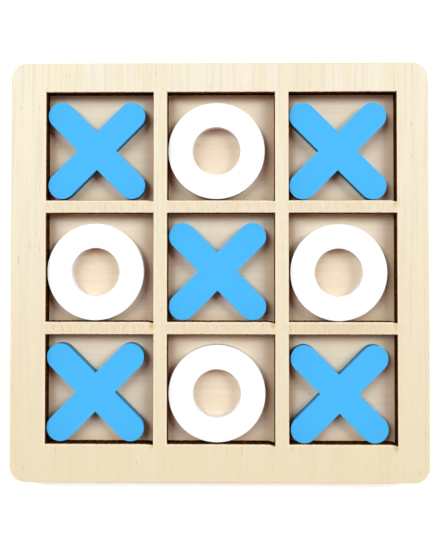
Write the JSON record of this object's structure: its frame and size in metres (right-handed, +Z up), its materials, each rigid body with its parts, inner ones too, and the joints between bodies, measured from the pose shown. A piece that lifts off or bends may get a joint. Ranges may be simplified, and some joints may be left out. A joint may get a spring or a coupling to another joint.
{
  "type": "tic tac toe set",
  "caption": "Square plywood noughts-and-crosses tray with a grid of pockets, holding loose flat crosses and rings that lift out.",
  "frame": {"origin": "middle of the tray's underside", "axes": "+Z up out of the pockets, +X to the player's right, +Y away from the player"},
  "size_m": [0.14, 0.1406, 0.008],
  "materials": {
    "grid_plywood": "raw, sanded, with scorched laser-cut edges",
    "base_plywood": "raw, sanded, with scorched laser-cut edges",
    "cross_paint": "sky blue satin paint on wood",
    "ring_paint": "white satin paint on wood"
  },
  "bodies": {
    "board": {"base_board": "base_plywood", "grid_frame": "grid_plywood"},
    "x_piece_1": {"x_piece_1": "cross_paint"},
    "x_piece_2": {"x_piece_2": "cross_paint"},
    "x_piece_3": {"x_piece_3": "cross_paint"},
    "x_piece_4": {"x_piece_4": "cross_paint"},
    "x_piece_5": {"x_piece_5": "cross_paint"},
    "o_piece_1": {"o_piece_1": "ring_paint"},
    "o_piece_2": {"o_piece_2": "ring_paint"},
    "o_piece_3": {"o_piece_3": "ring_paint"},
    "o_piece_4": {"o_piece_4": "ring_paint"}
  },
  "joints": [
    {"name": "x_piece_1_lift", "type": "slide", "parent": "board", "child": "x_piece_1", "axis": [0, 0, 1], "range_m": [0, 0.03]},
    {"name": "x_piece_2_lift", "type": "slide", "parent": "board", "child": "x_piece_2", "axis": [0, 0, 1], "range_m": [0, 0.03]},
    {"name": "x_piece_3_lift", "type": "slide", "parent": "board", "child": "x_piece_3", "axis": [0, 0, 1], "range_m": [0, 0.03]},
    {"name": "x_piece_4_lift", "type": "slide", "parent": "board", "child": "x_piece_4", "axis": [0, 0, 1], "range_m": [0, 0.03]},
    {"name": "x_piece_5_lift", "type": "slide", "parent": "board", "child": "x_piece_5", "axis": [0, 0, 1], "range_m": [0, 0.03]},
    {"name": "o_piece_1_lift", "type": "slide", "parent": "board", "child": "o_piece_1", "axis": [0, 0, 1], "range_m": [0, 0.03]},
    {"name": "o_piece_2_lift", "type": "slide", "parent": "board", "child": "o_piece_2", "axis": [0, 0, 1], "range_m": [0, 0.03]},
    {"name": "o_piece_3_lift", "type": "slide", "parent": "board", "child": "o_piece_3", "axis": [0, 0, 1], "range_m": [0, 0.03]},
    {"name": "o_piece_4_lift", "type": "slide", "parent": "board", "child": "o_piece_4", "axis": [0, 0, 1], "range_m": [0, 0.03]}
  ]
}
